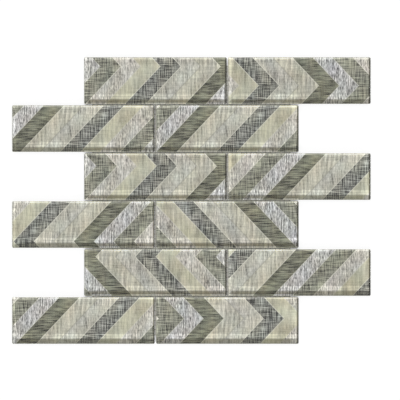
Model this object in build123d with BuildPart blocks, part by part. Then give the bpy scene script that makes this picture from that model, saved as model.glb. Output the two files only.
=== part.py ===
"""Sheet of glass subway tiles in a running bond on a mesh backing, in millimetres.

The sheet lies face up: X runs along the courses, Y up the sheet and Z out of the glass.
The origin is the middle of the sheet, on the plane that its back lies on.
"""

import os

from build123d import *

# Layout of the sheet
COURSES = 6
TILES_PER_COURSE = 2
SIDES = ("left", "right")
MODULE_LENGTH = 150.0  # one tile and one joint, along a course
MODULE_WIDTH = 50.0  # one tile and one joint, across a course
JOINT = 1.5
STAGGER = MODULE_LENGTH / 2  # from each course to the next

# Glass tile
TILE_LENGTH = MODULE_LENGTH - JOINT
TILE_WIDTH = MODULE_WIDTH - JOINT
TILE_THICKNESS = 8.0
CORNER_RADIUS = 1.5  # seen from the front
FACE_ARRIS = 0.3  # the polished bevel round the face
BACK_ARRIS = 0.2  # the ground bevel round the back

# Backing mesh: flat strands along the courses, bonded under flat strands across them
STRAND_PITCH = 5.0
STRAND_WIDTH = 0.8
STRAND_THICKNESS = 0.2
MESH_THICKNESS = 2 * STRAND_THICKNESS
MESH_INSET = 9.0  # from the outline of the joined modules

COURSE_LENGTH = TILES_PER_COURSE * MODULE_LENGTH
SHEET_LENGTH = COURSE_LENGTH + STAGGER
SHEET_WIDTH = COURSES * MODULE_WIDTH

# One strand fewer than the modules span each way puts a strand under the middle of every joint
WEFT_STRANDS = round(SHEET_WIDTH / STRAND_PITCH) - 1
WARP_STRANDS = round(SHEET_LENGTH / STRAND_PITCH) - 1


def course_centre(course):
    """Middle of a course, counted from the top, whose odd courses stand to the right."""
    x = STAGGER / 2 if course % 2 else -STAGGER / 2
    y = ((COURSES + 1) / 2 - course) * MODULE_WIDTH
    return x, y


def tile_centre(course, place):
    """Middle of a tile, by its course and its place along the course from the left."""
    x, y = course_centre(course)
    return x + (place - (TILES_PER_COURSE - 1) / 2) * MODULE_LENGTH, y


def glass_tile(x, y):
    """One tile: a slab with rounded corners and an arris round its face and its back."""
    with BuildPart() as tile:
        with BuildSketch(Plane((x, y, MESH_THICKNESS))):
            RectangleRounded(TILE_LENGTH, TILE_WIDTH, CORNER_RADIUS)
        extrude(amount=TILE_THICKNESS)
        chamfer(tile.faces().sort_by(Axis.Z)[-1].edges(), FACE_ARRIS)
        chamfer(tile.faces().sort_by(Axis.Z)[0].edges(), BACK_ARRIS)
    return tile.part


def write(part, name):
    part.label = name
    export_step(part, f"parts/{name}.step")


os.makedirs("parts", exist_ok=True)

# Twelve tiles, two to a course
for course in range(1, COURSES + 1):
    for place, side in enumerate(SIDES):
        write(glass_tile(*tile_centre(course, place)), f"tile_row{course}_{side}")

# Outline of the mesh: the stepped outline of the courses, drawn in so that none shows past the tiles
with BuildSketch() as mesh_outline:
    for course in range(1, COURSES + 1):
        with Locations(course_centre(course)):
            Rectangle(COURSE_LENGTH, MODULE_WIDTH)
    offset(amount=-MESH_INSET, kind=Kind.INTERSECTION)

# Lower strands, along the courses
with BuildPart() as mesh_weft:
    with BuildSketch():
        with GridLocations(0, STRAND_PITCH, 1, WEFT_STRANDS):
            Rectangle(SHEET_LENGTH, STRAND_WIDTH)
        add(mesh_outline.sketch_local, mode=Mode.INTERSECT)
    extrude(amount=STRAND_THICKNESS)
write(mesh_weft.part, "mesh_weft")

# Upper strands, across the courses and against the tiles
with BuildPart() as mesh_warp:
    with BuildSketch(Plane.XY.offset(STRAND_THICKNESS)):
        with GridLocations(STRAND_PITCH, 0, WARP_STRANDS, 1):
            Rectangle(STRAND_WIDTH, SHEET_WIDTH)
        add(mesh_outline.sketch_local, mode=Mode.INTERSECT)
    extrude(amount=STRAND_THICKNESS)
write(mesh_warp.part, "mesh_warp")
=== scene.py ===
"""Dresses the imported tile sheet: clear glass over chevron prints, mesh behind, on a pale floor."""

import math
from collections import namedtuple

import bmesh
import bpy
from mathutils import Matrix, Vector


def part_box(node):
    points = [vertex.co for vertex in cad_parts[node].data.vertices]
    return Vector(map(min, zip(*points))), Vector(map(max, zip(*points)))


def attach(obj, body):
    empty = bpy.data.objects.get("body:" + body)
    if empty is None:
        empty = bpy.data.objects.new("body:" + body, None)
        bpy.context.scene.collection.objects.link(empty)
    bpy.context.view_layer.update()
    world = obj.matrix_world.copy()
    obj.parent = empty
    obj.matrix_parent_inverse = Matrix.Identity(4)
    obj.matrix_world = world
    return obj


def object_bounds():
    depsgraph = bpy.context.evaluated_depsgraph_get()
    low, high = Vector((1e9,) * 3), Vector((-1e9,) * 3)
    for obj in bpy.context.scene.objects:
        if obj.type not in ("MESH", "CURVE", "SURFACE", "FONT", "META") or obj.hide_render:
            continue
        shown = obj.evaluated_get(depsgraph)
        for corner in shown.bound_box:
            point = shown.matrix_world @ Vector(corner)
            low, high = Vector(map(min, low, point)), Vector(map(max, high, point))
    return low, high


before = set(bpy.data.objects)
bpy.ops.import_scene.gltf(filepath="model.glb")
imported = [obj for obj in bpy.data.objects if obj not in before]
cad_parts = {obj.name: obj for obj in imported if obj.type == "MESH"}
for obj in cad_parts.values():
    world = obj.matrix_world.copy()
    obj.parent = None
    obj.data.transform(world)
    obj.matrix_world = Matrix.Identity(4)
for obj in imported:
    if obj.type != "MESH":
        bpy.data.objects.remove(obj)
CAD_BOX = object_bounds()
scene = bpy.context.scene

MM = 0.001
WHITE = (1.0, 1.0, 1.0, 1.0)

# The tiles of the sheet
COURSES = 6
SIDES = ("left", "right")
low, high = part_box("tile_row1_left")
TILE_LENGTH = high[0] - low[0]
TILE_WIDTH = high[1] - low[1]

# Camera, straight above the sheet
VIEW_WIDTH = 0.4167  # what the picture's width covers at the glass face
VIEW_CENTRE = (0.0090, 0.0006)
VIEW_END = 100.0
LENS = 300.0
SENSOR = 36.0

# Square lamps that look at the middle of the sheet, and whether polished faces mirror them
Lamp = namedtuple("Lamp", "place size power mirrored")
LAMPS = {
    "overhead": Lamp((0.0, 0.0, 2.4), 2.0, 38.0, False),
    "front": Lamp((0.0, -1.7, 1.7), 0.5, 24.0, True),
    "back": Lamp((0.0, 1.7, 1.7), 0.5, 17.5, True),
}
STUDIO_LIGHT = 0.4  # strength of the white surround as a lamp; where it is seen, it is 1

# Floor: white in the open, and only as light as the lamps make it deep in the joints
FLOOR_SIZE = 24.0
FLOOR_DROP = 0.1 * MM
FLOOR_COLOUR = (0.9, 0.9, 0.9, 1.0)
FLOOR_ROUGHNESS = 0.8
FLOOR_WHITE = 0.85  # the share of plain white in the open
JOINT_REACH = 6 * MM  # how near the glass has to be to shut the open off
JOINT_SAMPLES = 16
JOINT_OPENNESS = (0.25, 0.45)  # no plain white below the first, all of its share above the second

# Printed coat on the back of each tile
COAT_INSET = 0.2 * MM  # from the tile's edge
COAT_RISE = 0.05 * MM  # its face, above the back of the glass
COAT_DROP = 0.01 * MM  # its back, below the back of the glass
COAT_ROUGHNESS = 0.6
CORNER_RADIUS = 1.5 * MM
CORNER_STEPS = 8

# The chevron, in millimetres on the printed sheet
STRIPE = 20.9  # one stripe, along the tile
STRIPE_SLOPE = 0.94  # how far a stripe moves along, for each millimetre up
ARM = 54.0  # from one row of tips to the next

# Thin lines where two stripes meet, on the pale stripes only
PALE_LINE = (212, 210, 196)
DARK_LINE = (135, 133, 122)
LINE_WIDTH = 1.1  # along the tile, from the meeting to where the line has faded out

# Stripes from left to right: colour of the ink (sRGB), how strong its grain is (fine streaks,
# broad streaks, linen threads, level grain, wood lines), the colour and strength of the line at its
# left edge, and whether lines lie on it
Stripe = namedtuple("Stripe", "ink grain line line_strength takes_lines")
STRIPES = {
    "cream": Stripe((181, 178, 157), (0.13, 0.17, 0.11, 0.00, 0.05), PALE_LINE, 0.3, True),
    "grey_linen": Stripe((121, 121, 114), (0.00, 0.12, 1.10, 0.00, 0.00), PALE_LINE, 0.8, False),
    "pale_grey": Stripe((181, 179, 168), (0.30, 0.16, 0.16, 0.00, 0.05), PALE_LINE, 0.8, True),
    "cream_wood": Stripe((184, 181, 165), (0.22, 0.11, 0.15, 0.00, 0.16), DARK_LINE, 0.4, True),
    "dark_olive": Stripe((114, 114, 98), (0.00, 0.10, 0.20, 0.55, 0.00), PALE_LINE, 0.7, False),
    "lilac_white": Stripe((171, 170, 167), (0.76, 0.12, 0.10, 0.00, 0.08), PALE_LINE, 0.5, True),
    "olive_linen": Stripe((129, 129, 116), (0.00, 0.10, 0.74, 0.00, 0.04), PALE_LINE, 0.5, False),
    "grey_white": Stripe((180, 177, 168), (0.50, 0.08, 0.10, 0.00, 0.04), PALE_LINE, 0.8, True),
}

# One stripe is wider on some tiles, by this many millimetres
WIDENED = list(STRIPES).index("olive_linen")
WIDER = {"row6_right": 5.0}

# Noises of the grain: how often they change in a millimetre along the print and up it, and their seeds
Fibres = namedtuple("Fibres", "along up seed detail", defaults=(1.0,))
LONG_STREAKS = Fibres(1.15, 0.05, 0.0)
SHORT_STREAKS = Fibres(1.15, 0.25, 17.0)
BROAD_STREAKS = Fibres(0.2, 0.03, 1.0, detail=2.0)
LEVEL_THREADS = Fibres(0.06, 1.15, 3.0)
UPRIGHT_THREADS = Fibres(1.2, 0.06, 7.0)
LEVEL_LINES = Fibres(0.08, 0.95, 5.0)
LEVEL_PATCHES = Fibres(0.06, 0.08, 11.0)
WOOD_BENDS = Fibres(0.03, 0.02, 9.0)
TONE_DRIFT = Fibres(0.04, 0.03, 2.0)
WARMTH_DRIFT = Fibres(0.05, 0.03, 13.0)
GREEN_DRIFT = Fibres(0.05, 0.04, 19.0)
FIBRE_ROUGHNESS = 0.6
NOISE_MIDDLE = 0.5

# How far the noises swing the tone of the print
FINE_GAIN = 4.5
BROAD_GAIN = 7.0
THREAD_GAIN = 5.4
LEVEL_GAIN = 7.0
PATCH_SHARE = 0.4  # of the level grain's patches, to 1 of its lines
WOOD_PHASE = 1.3  # radians of the wood lines' wave, for each millimetre along
WOOD_WANDER = 16.0  # radians that their bends add, at most
TONE_GAIN = 0.9
WARMTH_GAIN = 0.16
GREEN_GAIN = 0.12
BLUE_SWING = -1.5  # of blue, for each 1 that warmth adds to red
LEAST_TONE = 0.15

# Light and shade painted on the print along the edges of a tile, where thick glass would throw them:
# (millimetres in from that edge, times the print's own tone). A bottom edge is free where no tile lies
# below it.
PAINTED_FOOT_BANDS = (
    (5.6, 1.5), (6.5, 1.68), (7.1, 1.32), (8.6, 1.26), (9.0, 1.43), (9.5, 1.38), (10.3, 1.0),
)
PAINTED_EDGE_LIGHT = {
    "bottom": ((0.0, 1.95), (0.95, 1.85), (1.5, 0.62), (3.6, 0.62), (4.8, 0.76), *PAINTED_FOOT_BANDS),
    "bottom_free": ((0.0, 0.82), (3.6, 0.7), (4.8, 0.8), *PAINTED_FOOT_BANDS),
    "top": (
        (0.0, 2.7), (1.0, 2.35), (1.8, 1.9), (2.4, 1.47), (4.0, 1.31), (6.0, 1.24),
        (8.0, 1.14), (11.0, 1.06), (20.0, 1.0), (36.5, 0.94), (39.0, 1.0),
    ),
    "left": (
        (0.0, 1.3), (1.0, 1.3), (1.6, 1.6), (2.8, 1.52), (3.8, 1.16), (5.5, 1.03), (7.0, 1.0),
    ),
    "right": (
        (0.0, 0.15), (1.1, 0.15), (1.7, 1.0), (3.0, 1.2), (6.0, 1.18), (8.5, 1.02), (10.0, 1.0),
    ),
}
EDGE_REACH = 48.0  # how far in from an edge the painted tones are given
MOST_TONE = 3.0  # no tone is above this
MITRE_START = -0.8  # from the left edge to where the painted light and shade of the bottom edge begin
MITRE_SLOPE = 0.75  # and how much later they begin, for each millimetre up
MITRE_FADE = 1.0
RIM_PAINTED_HIGHLIGHT = (0.15, 0.15, 0.145, 1.0)  # painted highlight added along the top edge
RIM_WIDTH = 2.2
RIM_FADE = 0.5  # the inner part of that width, where the painted highlight fades out
PAINTED_SHADE_TINT = (1.0, 0.96, 0.78, 1.0)  # tint of the painted shade: what the glass would leave of the light there
FULL_PAINTED_SHADE = 0.5  # the painted tone at which the painted shade has all of that tint

# Where each tile was cut from the print: whether it is turned half round, and where the point
# of a cream stripe falls, in millimetres from the tile's middle. Where no point is on the tile, one
# past its edge is given.
PAST_EDGE = 29.0
PRINTS = {
    "row1_left": (False, -15.5, 15.0),
    "row1_right": (False, -63.0, -5.0),
    "row2_left": (True, 13.0, -PAST_EDGE),
    "row2_right": (True, 26.0, -PAST_EDGE),
    "row3_left": (False, -19.5, 11.0),
    "row3_right": (True, 61.5, -PAST_EDGE),
    "row4_left": (False, -43.0, 36.5),
    "row4_right": (False, -27.5, -PAST_EDGE),
    "row5_left": (True, 21.0, 16.5),
    "row5_right": (False, -82.0, PAST_EDGE),
    "row6_left": (True, 29.5, -PAST_EDGE),
    "row6_right": (True, 29.0, -52.0),
}

# Clear glass. A face's flatness is how far it looks up or down: 0 on the walls, 1 on the flats, and
# between the two on the bevels.
GLASS_COLOUR = (0.97, 0.985, 0.97, 1.0)
GLASS_ROUGHNESS = 0.01
GLASS_IOR = 1.5
WALL_LIGHT = (0.05, 0.05, 0.04, 1.0)  # what walls let through of a lamp; flats let all of it through
WALL_TO_FLAT = (0.2, 0.8)
WALL_TO_BEVEL = (0.4, 0.6)
FLAT_TO_BEVEL = (0.95, 0.8)
BEVEL_MATT = 0.75  # the share of a matt finish on the bevels

# Painted light and shade on the bevels, by the side they face: from the right sides of a tile, painted
# darkest, to its left sides, painted lightest
BEVEL_PAINTED_LIGHT = (
    (0.0, (0.03, 0.03, 0.02, 1.0)),
    (0.4, (0.32, 0.31, 0.24, 1.0)),
    (1.0, (0.52, 0.51, 0.43, 1.0)),
)
PAINTED_LIGHT_ALONG = -0.7  # how much the painted light counts that a bevel looks along the tile
PAINTED_LIGHT_UP = 0.2  # and up it
PAINTED_LIGHT_SPAN = 0.5  # from the middle of the painted tones to either end

# The back: the darkest and the lightest colour of each finish (sRGB), and its bumps
NOISE_SPAN = (0.3, 0.7)  # where most of a noise's values lie
BASE_COAT = ((196, 195, 190), (214, 213, 208))
BASE_COAT_ROUGHNESS = (0.45, 0.65)
BASE_COAT_BUMP = 0.15
BASE_COAT_DEPTH = 0.2 * MM
MOTTLE_SCALE = 180.0
MOTTLE_DETAIL = 4.0
MOTTLE_ROUGHNESS = 0.65
YARN = ((155, 153, 140), (188, 186, 172))
YARN_ROUGHNESS = 0.55
YARN_BUMP = 0.4
YARN_DEPTH = 0.1 * MM
YARN_ACROSS = 9000.0  # scale of the noise across the fibres
YARN_ALONG = 900.0


def linear(channel):
    """One sRGB channel, 0 to 255, as linear light."""
    value = channel / 255
    return value / 12.92 if value <= 0.04045 else ((value + 0.055) / 1.055) ** 2.4


def rgba(colour):
    return (*(linear(channel) for channel in colour), 1.0)


def grey(value):
    return (value, value, value, 1.0)


class Graph:
    """Short calls that add nodes to a node tree. Values are numbers, tuples or sockets."""

    def __init__(self, tree):
        self.tree = tree

    def node(self, kind, **settings):
        node = self.tree.nodes.new(kind)
        for name, value in settings.items():
            setattr(node, name, value)
        return node

    def put(self, socket, value):
        if isinstance(value, bpy.types.NodeSocket):
            self.tree.links.new(value, socket)
        elif value is not None:
            socket.default_value = value

    def fill(self, node, *values):
        """Puts values in a node's sockets, in order, and gives its first output."""
        for socket, value in zip(node.inputs, values):
            self.put(socket, value)
        return node.outputs[0]

    def math(self, operation, a, b=None, c=None):
        return self.fill(self.node("ShaderNodeMath", operation=operation), a, b, c)

    def vector(self, operation, a, b):
        node = self.node("ShaderNodeVectorMath", operation=operation)
        self.put(node.inputs[0], a)
        self.put(node.inputs["Scale" if operation == "SCALE" else 1], b)
        return node.outputs[0]

    def split(self, vector):
        node = self.node("ShaderNodeSeparateXYZ")
        self.put(node.inputs[0], vector)
        return node.outputs

    def join(self, x, y, z):
        return self.fill(self.node("ShaderNodeCombineXYZ"), x, y, z)

    def noise(self, vector, scale=1.0, detail=2.0, roughness=0.5):
        node = self.node("ShaderNodeTexNoise")
        self.put(node.inputs["Vector"], vector)
        self.put(node.inputs["Scale"], scale)
        self.put(node.inputs["Detail"], detail)
        self.put(node.inputs["Roughness"], roughness)
        return node.outputs["Fac"]

    def range(self, value, low, high, to_low=0.0, to_high=1.0, smooth=True):
        kind = "SMOOTHSTEP" if smooth else "LINEAR"
        node = self.node("ShaderNodeMapRange", interpolation_type=kind)
        for name, number in (("Value", value), ("From Min", low), ("From Max", high),
                             ("To Min", to_low), ("To Max", to_high)):
            self.put(node.inputs[name], number)
        return node.outputs["Result"]

    def mix(self, factor, a, b, blend="MIX"):
        node = self.node("ShaderNodeMix", data_type="RGBA", blend_type=blend)
        self.put(node.inputs[0], factor)
        self.put(node.inputs[6], a)
        self.put(node.inputs[7], b)
        return node.outputs[2]

    def ramp(self, value, stops, interpolation="LINEAR"):
        """stops are (place, colour) in order."""
        node = self.node("ShaderNodeValToRGB")
        node.color_ramp.interpolation = interpolation
        elements = node.color_ramp.elements
        while len(elements) < len(stops):
            elements.new(1.0)
        for element, (place, colour) in zip(elements, stops):
            element.position = place
            element.color = colour
        self.put(node.inputs[0], value)
        return node.outputs["Color"]

    def mix_shaders(self, factor, a, b):
        return self.fill(self.node("ShaderNodeMixShader"), factor, a, b)

    def seen(self):
        """1 for rays that come to the camera straight, mirrored or through glass; else 0."""
        path = self.node("ShaderNodeLightPath").outputs
        bent = self.math("MAXIMUM", path["Is Glossy Ray"], path["Is Transmission Ray"])
        return self.math("MAXIMUM", path["Is Camera Ray"], bent)


def material(name):
    """A new node material, its graph and its Principled shader's node."""
    made = bpy.data.materials.new(name)
    made.use_nodes = True
    return made, Graph(made.node_tree), made.node_tree.nodes["Principled BSDF"]


def set_surface(made, shader):
    tree = made.node_tree
    tree.links.new(shader, tree.nodes["Material Output"].inputs["Surface"])


def stripe_ramp(g, index, colours):
    """One colour for each stripe, by the stripe's index."""
    count = len(STRIPES)
    stops = [(place / count, colour) for place, colour in enumerate(colours)]
    return g.ramp(g.math("DIVIDE", g.math("ADD", index, 0.5), count), stops, "CONSTANT")


def stripes_along(g, x, y, wider):
    """How many stripes a place on the print lies from the left edge of a cream one, up to all 8."""
    zigzag = g.math("PINGPONG", y, ARM)
    along = g.math("DIVIDE", g.math("MULTIPLY_ADD", zigzag, STRIPE_SLOPE, x), STRIPE)
    past = g.math("SUBTRACT", g.math("FLOORED_MODULO", along, len(STRIPES)), WIDENED)
    inside = g.math("DIVIDE", past, g.math("ADD", wider, 1.0))
    beyond = g.math("SUBTRACT", past, wider)
    return g.math("ADD", g.math("MINIMUM", past, g.math("MAXIMUM", inside, beyond)), WIDENED)


def grained_ink(g, x, y, index):
    """The ink of the stripe at a place, with the stripe's grain in it."""

    def noise(fibres):
        across = g.math("MULTIPLY", x, fibres.along)
        place = g.join(across, g.math("MULTIPLY", y, fibres.up), fibres.seed)
        return g.noise(place, detail=fibres.detail, roughness=FIBRE_ROUGHNESS)

    def swing(value, gain, noises=1.0):
        """A sum of noises, moved to lie about 0 and spread."""
        return g.math("MULTIPLY", g.math("SUBTRACT", value, noises * NOISE_MIDDLE), gain)

    streaks = g.math("ADD", noise(LONG_STREAKS), noise(SHORT_STREAKS))
    linen = g.math("ADD", noise(LEVEL_THREADS), noise(UPRIGHT_THREADS))
    layers = g.math("MULTIPLY_ADD", noise(LEVEL_PATCHES), PATCH_SHARE, noise(LEVEL_LINES))
    wave = g.math("MULTIPLY_ADD", noise(WOOD_BENDS), WOOD_WANDER, g.math("MULTIPLY", x, WOOD_PHASE))
    kinds = (
        swing(streaks, FINE_GAIN, 2.0),
        swing(noise(BROAD_STREAKS), BROAD_GAIN),
        swing(linen, THREAD_GAIN, 2.0),
        swing(layers, LEVEL_GAIN, 1.0 + PATCH_SHARE),
        g.math("SINE", wave),
    )

    # A ramp holds three numbers for each stripe, so two ramps hold how strong the five kinds are
    strengths = []
    for first in (0, 3):
        colours = []
        for stripe in STRIPES.values():
            three = (*stripe.grain, 0.0)[first:first + 3]
            colours.append((*three, 1.0))
        parts = g.node("ShaderNodeSeparateColor")
        g.put(parts.inputs[0], stripe_ramp(g, index, colours))
        strengths.extend(parts.outputs)

    grain = swing(noise(TONE_DRIFT), TONE_GAIN)
    for strength, kind in zip(strengths, kinds):
        grain = g.math("MULTIPLY_ADD", strength, kind, grain)
    tone = g.math("MAXIMUM", g.math("ADD", grain, 1.0), LEAST_TONE)
    warmth = swing(noise(WARMTH_DRIFT), WARMTH_GAIN)
    greenness = swing(noise(GREEN_DRIFT), GREEN_GAIN)
    red = g.math("MULTIPLY_ADD", warmth, tone, tone)
    green = g.math("MULTIPLY_ADD", greenness, tone, tone)
    blue = g.math("MULTIPLY_ADD", warmth, g.math("MULTIPLY", tone, BLUE_SWING), tone)
    plain = stripe_ramp(g, index, [rgba(stripe.ink) for stripe in STRIPES.values()])
    return g.mix(1.0, plain, g.join(red, green, blue), "MULTIPLY")


def lined_ink(g, ink, along, index):
    """The ink with the thin lines where two stripes meet."""
    stripes = STRIPES.values()
    meeting = g.math("ROUND", along)
    away = g.math("MULTIPLY", g.math("ABSOLUTE", g.math("SUBTRACT", along, meeting)), STRIPE)
    edge = g.math("FLOORED_MODULO", meeting, len(STRIPES))
    colour = stripe_ramp(g, edge, [rgba(stripe.line) for stripe in stripes])
    strength = stripe_ramp(g, edge, [grey(stripe.line_strength) for stripe in stripes])
    taken = stripe_ramp(g, index, [grey(float(stripe.takes_lines)) for stripe in stripes])
    line = g.math("MULTIPLY", g.range(away, LINE_WIDTH, LINE_WIDTH / 2), strength)
    return g.mix(g.math("MULTIPLY", line, taken), ink, colour)


def ink_with_painted_light(g, ink, x, y, below):
    """The ink with light and shade painted along the tile's edges, by the place from the tile's
    middle.
    """
    half_length = TILE_LENGTH / 2 / MM
    half_width = TILE_WIDTH / 2 / MM
    from_bottom = g.math("ADD", y, half_width)
    distances = {
        "bottom": from_bottom,
        "bottom_free": from_bottom,
        "top": g.math("SUBTRACT", half_width, y),
        "left": g.math("ADD", x, half_length),
        "right": g.math("SUBTRACT", half_length, x),
    }
    # painted light and shade along each edge, by the distance in from it
    painted_tones = {}
    for side, stops in PAINTED_EDGE_LIGHT.items():
        shares = [(far / EDGE_REACH, grey(tone / MOST_TONE)) for far, tone in stops]
        ramp = g.ramp(g.math("DIVIDE", distances[side], EDGE_REACH), shares)
        painted_tones[side] = g.math("MULTIPLY", ramp, MOST_TONE)

    start = g.math("MULTIPLY_ADD", from_bottom, MITRE_SLOPE, MITRE_START)
    begun = g.range(g.math("SUBTRACT", distances["left"], start), 0.0, MITRE_FADE)
    below_from, below_to, _ = g.split(below)
    after_start = g.math("GREATER_THAN", x, below_from)
    covered = g.math("MULTIPLY", after_start, g.math("LESS_THAN", x, below_to))
    painted_foot = g.mix(covered, painted_tones["bottom_free"], painted_tones["bottom"])
    light = g.math("MULTIPLY_ADD", g.math("SUBTRACT", painted_foot, 1.0), begun, 1.0)
    for side in ("top", "left", "right"):
        light = g.math("MULTIPLY", light, painted_tones[side])

    # the ink times the painted light and shade
    lit = g.mix(1.0, ink, g.join(light, light, light), "MULTIPLY")
    # painted highlight along the top edge
    highlight_mask = g.range(distances["top"], RIM_WIDTH, RIM_WIDTH - RIM_FADE)
    lit = g.mix(highlight_mask, lit, RIM_PAINTED_HIGHLIGHT, "ADD")
    # the painted shade takes a tint where the painted tone is low
    shaded = g.mix(1.0, lit, PAINTED_SHADE_TINT, "MULTIPLY")
    return g.mix(g.range(light, 1.0, FULL_PAINTED_SHADE), lit, shaded)


def print_group():
    """The printed sheet, with light and shade painted along each tile's edges: its colour at a place
    on a tile, in metres from the tile's middle.
    """
    tree = bpy.data.node_groups.new("printed_stripes_with_painted_edge_light", "ShaderNodeTree")
    for name in ("Place", "Tip", "Below"):
        tree.interface.new_socket(name, in_out="INPUT", socket_type="NodeSocketVector")
    for name in ("Turn", "Wider"):
        tree.interface.new_socket(name, in_out="INPUT", socket_type="NodeSocketFloat")
    tree.interface.new_socket("Color", in_out="OUTPUT", socket_type="NodeSocketColor")
    g = Graph(tree)
    source = g.node("NodeGroupInput").outputs
    place = g.vector("SCALE", source["Place"], 1 / MM)
    paper = g.vector("SCALE", g.vector("SUBTRACT", place, source["Tip"]), source["Turn"])
    x, y, _ = g.split(paper)
    along = stripes_along(g, x, y, source["Wider"])
    index = g.math("FLOOR", along)
    ink = lined_ink(g, grained_ink(g, x, y, index), along, index)
    tile_x, tile_y, _ = g.split(place)
    colour = ink_with_painted_light(g, ink, tile_x, tile_y, source["Below"])
    g.put(g.node("NodeGroupOutput").inputs["Color"], colour)
    return tree


def print_material(name, group, below, wider, turned, tip_x, tip_y):
    """One tile's print, with light and shade painted along its edges. below is from where to where a
    tile lies below it, from its middle.
    """
    made, g, shader = material(name)
    stripes = g.node("ShaderNodeGroup", node_tree=group)
    g.put(stripes.inputs["Place"], g.node("ShaderNodeTexCoord").outputs["Object"])
    g.put(stripes.inputs["Tip"], (tip_x, tip_y, 0.0))
    g.put(stripes.inputs["Turn"], -1.0 if turned else 1.0)
    g.put(stripes.inputs["Wider"], wider / STRIPE)
    g.put(stripes.inputs["Below"], (below[0] / MM, below[1] / MM, 0.0))
    g.put(shader.inputs["Base Color"], stripes.outputs["Color"])
    g.put(shader.inputs["Roughness"], COAT_ROUGHNESS)
    g.put(shader.inputs["Specular IOR Level"], 0.0)
    return made


def mottle(g, shader, noise, colours, strength, depth):
    """Gives a shader a noise's colours, from the darkest to the lightest, and its bumps."""
    stops = [(place, rgba(colour)) for place, colour in zip(NOISE_SPAN, colours)]
    g.put(shader.inputs["Base Color"], g.ramp(noise, stops))
    bump = g.node("ShaderNodeBump")
    g.put(bump.inputs["Strength"], strength)
    g.put(bump.inputs["Distance"], depth)
    g.put(bump.inputs["Height"], noise)
    g.put(shader.inputs["Normal"], bump.outputs[0])


def base_coat_material():
    """The opaque coat behind the print, seen from the back."""
    made, g, shader = material("base_coat")
    place = g.node("ShaderNodeTexCoord").outputs["Object"]
    noise = g.noise(place, MOTTLE_SCALE, MOTTLE_DETAIL, MOTTLE_ROUGHNESS)
    mottle(g, shader, noise, BASE_COAT, BASE_COAT_BUMP, BASE_COAT_DEPTH)
    g.put(shader.inputs["Roughness"], g.range(noise, *NOISE_SPAN, *BASE_COAT_ROUGHNESS))
    return made


def yarn_material():
    """Coated glass yarn: warm grey, with fine fibres on the slant."""
    made, g, shader = material("glass_yarn")
    x, y, z = g.split(g.node("ShaderNodeTexCoord").outputs["Object"])
    across = g.math("MULTIPLY", g.math("ADD", x, y), YARN_ACROSS)
    along = g.math("MULTIPLY", g.math("SUBTRACT", x, y), YARN_ALONG)
    noise = g.noise(g.join(across, along, g.math("MULTIPLY", z, YARN_ACROSS)))
    mottle(g, shader, noise, YARN, YARN_BUMP, YARN_DEPTH)
    g.put(shader.inputs["Roughness"], YARN_ROUGHNESS)
    return made


def glass_material():
    """Clear glass, polished but for its matt bevels, which carry painted light and shade by the side
    they face. Its flats let the lamps through to the print.
    """
    made, g, shader = material("clear_glass")
    g.put(shader.inputs["Base Color"], GLASS_COLOUR)
    g.put(shader.inputs["Roughness"], GLASS_ROUGHNESS)
    g.put(shader.inputs["IOR"], GLASS_IOR)
    g.put(shader.inputs["Transmission Weight"], 1.0)

    x, y, z = g.split(g.node("ShaderNodeTexCoord").outputs["Normal"])
    flatness = g.math("ABSOLUTE", z)
    no_wall = g.range(flatness, *WALL_TO_BEVEL)
    bevel = g.math("MULTIPLY", no_wall, g.range(flatness, *FLAT_TO_BEVEL))
    # painted light on the bevels: lighter on the left and top sides, darker on the right and bottom
    facing_painted_light = g.math("MULTIPLY_ADD", x, PAINTED_LIGHT_ALONG, g.math("MULTIPLY", y, PAINTED_LIGHT_UP))
    lit_side = g.range(facing_painted_light, -PAINTED_LIGHT_SPAN, PAINTED_LIGHT_SPAN, smooth=False)
    matt_painted_bevel = g.node("ShaderNodeBsdfDiffuse")
    g.put(matt_painted_bevel.inputs["Color"], g.ramp(lit_side, BEVEL_PAINTED_LIGHT))
    share = g.math("MULTIPLY", bevel, BEVEL_MATT)
    body = g.mix_shaders(share, shader.outputs[0], matt_painted_bevel.outputs[0])

    through = g.node("ShaderNodeBsdfTransparent")
    g.put(through.inputs["Color"], g.mix(g.range(flatness, *WALL_TO_FLAT), WALL_LIGHT, WHITE))
    shadow = g.node("ShaderNodeLightPath").outputs["Is Shadow Ray"]
    set_surface(made, g.mix_shaders(shadow, body, through.outputs[0]))
    return made


def floor_material():
    """Plain white where the floor is seen in the open, and its own colour in the joints."""
    made, g, shader = material("floor")
    g.put(shader.inputs["Base Color"], FLOOR_COLOUR)
    g.put(shader.inputs["Roughness"], FLOOR_ROUGHNESS)
    g.put(shader.inputs["Specular IOR Level"], 0.0)
    openness = g.node("ShaderNodeAmbientOcclusion", samples=JOINT_SAMPLES)
    g.put(openness.inputs["Distance"], JOINT_REACH)
    white_share = g.range(openness.outputs["AO"], *JOINT_OPENNESS, to_high=FLOOR_WHITE)
    white = g.node("ShaderNodeEmission").outputs[0]
    share = g.math("MULTIPLY", g.seen(), white_share)
    set_surface(made, g.mix_shaders(share, shader.outputs[0], white))
    return made


def add_object(name, data, place):
    made = bpy.data.objects.new(name, data)
    made.location = place
    scene.collection.objects.link(made)
    return made


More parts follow.
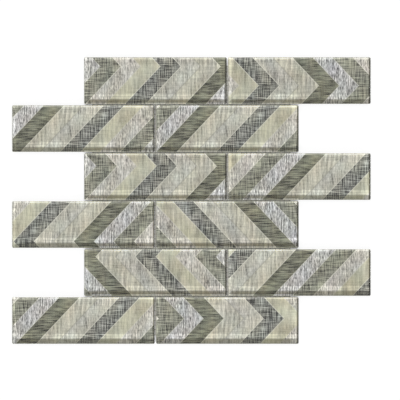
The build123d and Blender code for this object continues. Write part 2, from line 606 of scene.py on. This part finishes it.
def coat_mesh(name):
    """A thin plate with rounded corners about its middle: print on top, base coat below."""
    radius = CORNER_RADIUS - COAT_INSET
    reach_x = TILE_LENGTH / 2 - COAT_INSET - radius
    reach_y = TILE_WIDTH / 2 - COAT_INSET - radius
    outline = []
    for quarter, (side_x, side_y) in enumerate(((1, 1), (-1, 1), (-1, -1), (1, -1))):
        for step in range(CORNER_STEPS + 1):
            angle = (quarter + step / CORNER_STEPS) * math.pi / 2
            outline.append((side_x * reach_x + radius * math.cos(angle),
                            side_y * reach_y + radius * math.sin(angle)))
    mesh = bpy.data.meshes.new(name)
    bm = bmesh.new()
    upper = [bm.verts.new((x, y, COAT_RISE)) for x, y in outline]
    lower = [bm.verts.new((x, y, -COAT_DROP)) for x, y in outline]
    bm.faces.new(upper)
    bm.faces.new(reversed(lower)).material_index = 1
    for here in range(len(outline)):
        after = (here + 1) % len(outline)
        wall = bm.faces.new((upper[here], lower[here], lower[after], upper[after]))
        wall.material_index = 1
    bm.to_mesh(mesh)
    bm.free()
    return mesh


def floor_mesh():
    mesh = bpy.data.meshes.new("floor")
    bm = bmesh.new()
    bmesh.ops.create_grid(bm, x_segments=1, y_segments=1, size=FLOOR_SIZE / 2)
    bm.to_mesh(mesh)
    bm.free()
    return mesh


def dress(node, finish):
    node.data.materials.clear()
    node.data.materials.append(finish)


# Tiles: glass on every CAD tile, and a printed coat at its back, with light and shade painted along
# its edges
glass = glass_material()
base_coat = base_coat_material()
stripes = print_group()
for course in range(1, COURSES + 1):
    for side in SIDES:
        key = f"row{course}_{side}"
        dress(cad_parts[f"tile_{key}"], glass)
        low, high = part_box(f"tile_{key}")
        middle = ((low[0] + high[0]) / 2, (low[1] + high[1]) / 2, low[2])
        below = (0.0, 0.0)
        if course < COURSES:
            below = (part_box(f"tile_row{course + 1}_left")[0][0] - middle[0],
                     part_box(f"tile_row{course + 1}_right")[1][0] - middle[0])
        mesh = coat_mesh(f"print_{key}")
        wider = WIDER.get(key, 0.0)
        mesh.materials.append(print_material(f"print_{key}", stripes, below, wider, *PRINTS[key]))
        mesh.materials.append(base_coat)
        coat = add_object(f"print_{key}", mesh, middle)
        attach(coat, "root")

# Backing mesh
yarn = yarn_material()
for name in ("mesh_weft", "mesh_warp"):
    dress(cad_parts[name], yarn)

# Floor
floor = add_object("floor", floor_mesh(), (0, 0, -FLOOR_DROP))
floor.data.materials.append(floor_material())

# World
world = bpy.data.worlds.new("studio")
scene.world = world
world.use_nodes = True
graph = Graph(world.node_tree)
background = world.node_tree.nodes["Background"].inputs
strength = graph.range(graph.seen(), 0.0, 1.0, to_low=STUDIO_LIGHT, smooth=False)
graph.put(background["Strength"], strength)
graph.put(background["Color"], WHITE)

# Lamps
for name, lamp in LAMPS.items():
    light = bpy.data.lights.new(name, "AREA")
    light.shape = "SQUARE"
    light.size = lamp.size
    light.energy = lamp.power
    softbox = add_object(name, light, lamp.place)
    softbox.rotation_euler = (-Vector(lamp.place)).to_track_quat("-Z", "Y").to_euler()
    softbox.visible_glossy = lamp.mirrored

# Camera
camera_data = bpy.data.cameras.new("camera")
camera_data.lens = LENS
camera_data.sensor_width = SENSOR
camera_data.clip_end = VIEW_END
view_height = CAD_BOX[1][2] + VIEW_WIDTH * LENS / SENSOR
scene.camera = add_object("camera", camera_data, (*VIEW_CENTRE, view_height))

scene.cycles.caustics_refractive = False
scene.cycles.caustics_reflective = False
scene.view_settings.view_transform = "Standard"
